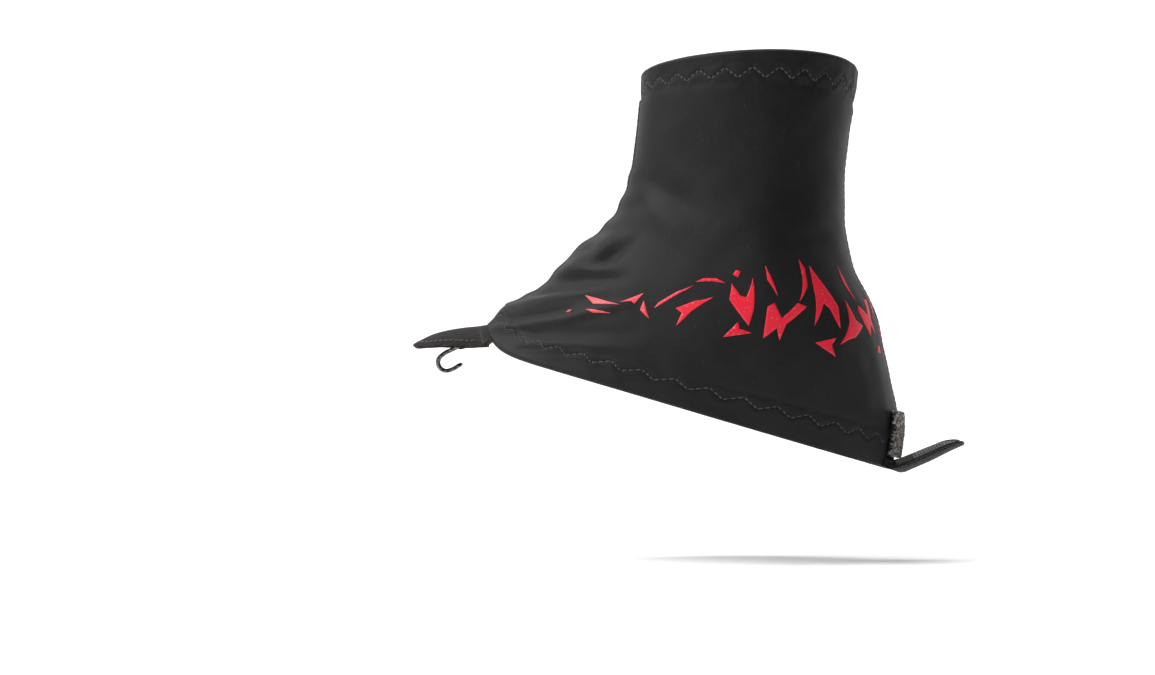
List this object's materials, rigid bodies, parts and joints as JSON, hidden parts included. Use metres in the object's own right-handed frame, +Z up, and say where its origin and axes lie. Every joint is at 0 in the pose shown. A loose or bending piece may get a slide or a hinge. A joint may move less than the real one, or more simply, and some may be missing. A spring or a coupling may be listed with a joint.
{
  "type": "trail gaiter",
  "caption": "Stretch sleeve for the ankle and the top of a low shoe, with zigzag-stitched cuff and hem, a lace hook under a front tab, and a heel pull tab that folds onto loop tape.",
  "frame": {"origin": "centre of the cuff's ring, on the axis of the leg", "axes": "+Z up the leg, +X towards the heel, so the toe is towards -X, and -Y towards the outer side of the foot"},
  "size_m": [0.2363, 0.0931, 0.1784],
  "materials": {
    "stretch_cloth": "smooth black two-way stretch knit with a slight sheen",
    "elastic_web": "black braided elastic",
    "thread": "black polyester thread",
    "suede": "brown-black synthetic suede",
    "webbing": "black tape webbing",
    "loop_tape": "fuzzy grey-brown loop tape",
    "hook_tape": "moulded nylon hooks",
    "hook_wire": "blackened steel wire",
    "satin": "blank satin label"
  },
  "bodies": {
    "sleeve": {"sleeve_lateral": "stretch_cloth", "sleeve_medial": "stretch_cloth", "front_seam": "thread", "heel_seam": "thread", "cuff_facing": "stretch_cloth", "cuff_elastic": "elastic_web", "cuff_stitch": "thread", "hem_facing": "stretch_cloth", "hem_elastic": "elastic_web", "hem_stitch": "thread", "care_label": "satin", "side_hook_patch_lateral": "hook_tape", "side_patch_stitch_lateral": "thread", "side_hook_patch_medial": "hook_tape", "side_patch_stitch_medial": "thread", "heel_loop_patch": "loop_tape", "heel_patch_stitch": "thread", "heel_tab_anchor": "webbing"},
    "lace_tab": {"lace_tab": "suede", "lace_tab_lining": "webbing", "lace_tab_stitch": "thread", "hook_keeper": "webbing"},
    "lace_hook": {"lace_hook": "hook_wire"},
    "heel_tab": {"heel_tab": "webbing", "heel_tab_hook_pad": "hook_tape", "heel_tab_stitch": "thread"}
  },
  "joints": [
    {"name": "lace_tab_lift", "type": "hinge", "parent": "sleeve", "child": "lace_tab", "pos_m": [-0.1139, 0, -0.1076], "axis": [0, 1, 0], "range_deg": [-10, 55], "stiffness_Nm_per_rad": 0.01},
    {"name": "lace_hook_swing", "type": "hinge", "parent": "lace_tab", "child": "lace_hook", "pos_m": [-0.1227, 0, -0.11534], "axis": [0, 1, 0], "range_deg": [-70, 8]},
    {"name": "heel_tab_fold", "type": "hinge", "parent": "sleeve", "child": "heel_tab", "pos_m": [0.0644, 0, -0.1705], "axis": [0, -1, 0], "range_deg": [-100, 52]}
  ]
}
